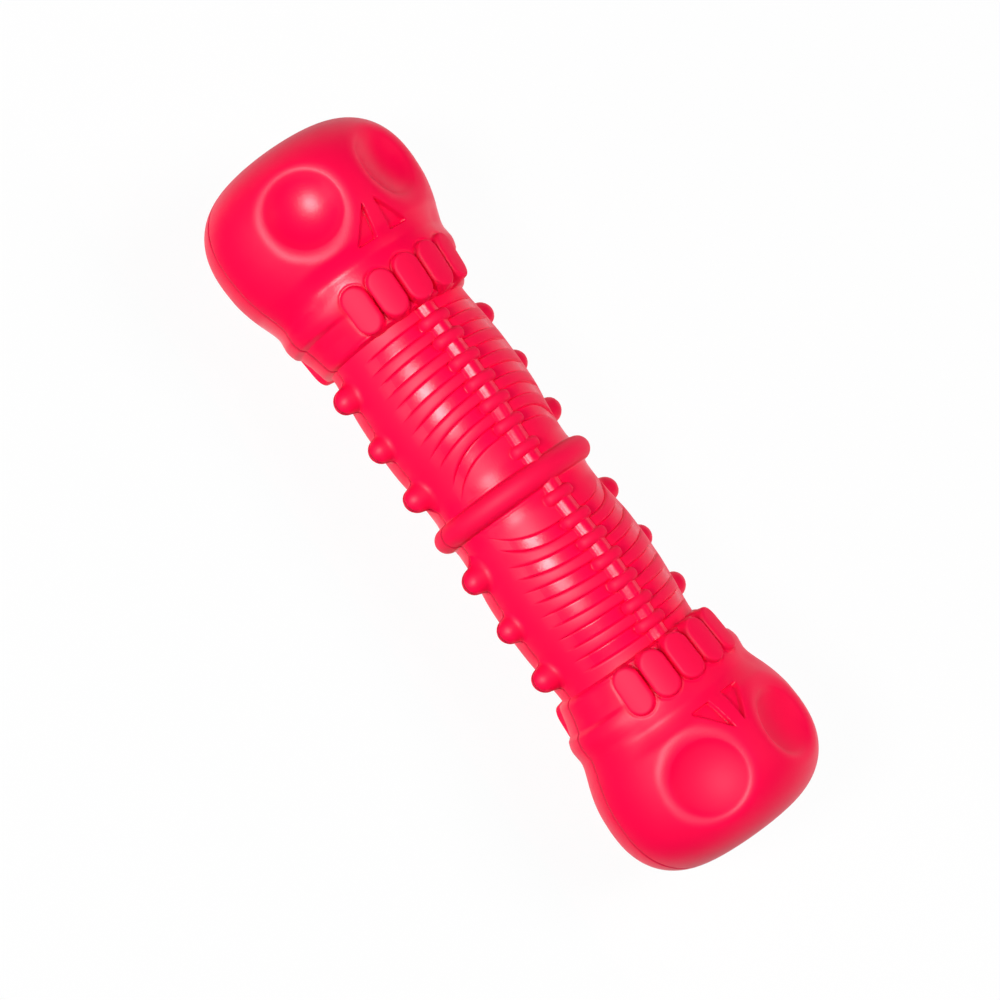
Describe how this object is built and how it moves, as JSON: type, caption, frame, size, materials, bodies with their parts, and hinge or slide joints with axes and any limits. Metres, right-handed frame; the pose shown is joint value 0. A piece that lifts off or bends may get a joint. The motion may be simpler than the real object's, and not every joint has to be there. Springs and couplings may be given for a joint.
{
  "type": "rubber chew toy",
  "caption": "Hollow red rubber chew stick for a dog: a ribbed shaft with a middle ring and side nubs, and a skull-like head with a squeaker at each end.",
  "frame": {"origin": "bottom centre of the toy's box, under the middle ring, with the toy lying on its back", "axes": "+X along the toy toward its right head, +Z out of the faces, +Y across the toy along the parting plane"},
  "size_m": [0.178, 0.0504, 0.049],
  "materials": {
    "red_rubber": "satin",
    "bulb_rubber": "matte",
    "whistle_plastic": "gloss",
    "reed_plastic": "matte"
  },
  "bodies": {
    "shell": {"front_half": "red_rubber", "back_half": "red_rubber", "bulb_left": "bulb_rubber", "bulb_right": "bulb_rubber", "whistle_body_left": "whistle_plastic", "whistle_body_right": "whistle_plastic", "whistle_cap_left": "whistle_plastic", "whistle_cap_right": "whistle_plastic"},
    "reed_left": {"reed_left": "reed_plastic"},
    "reed_right": {"reed_right": "reed_plastic"}
  },
  "joints": [
    {"name": "reed_left_flutter", "type": "hinge", "parent": "shell", "child": "reed_left", "pos_m": [-0.0448, 0, 0.0245], "axis": [0, 1, 0], "range_deg": [-2, 2], "stiffness_Nm_per_rad": 0.003},
    {"name": "reed_right_flutter", "type": "hinge", "parent": "shell", "child": "reed_right", "pos_m": [0.0448, 0, 0.0245], "axis": [0, 1, 0], "range_deg": [-2, 2], "stiffness_Nm_per_rad": 0.003}
  ]
}
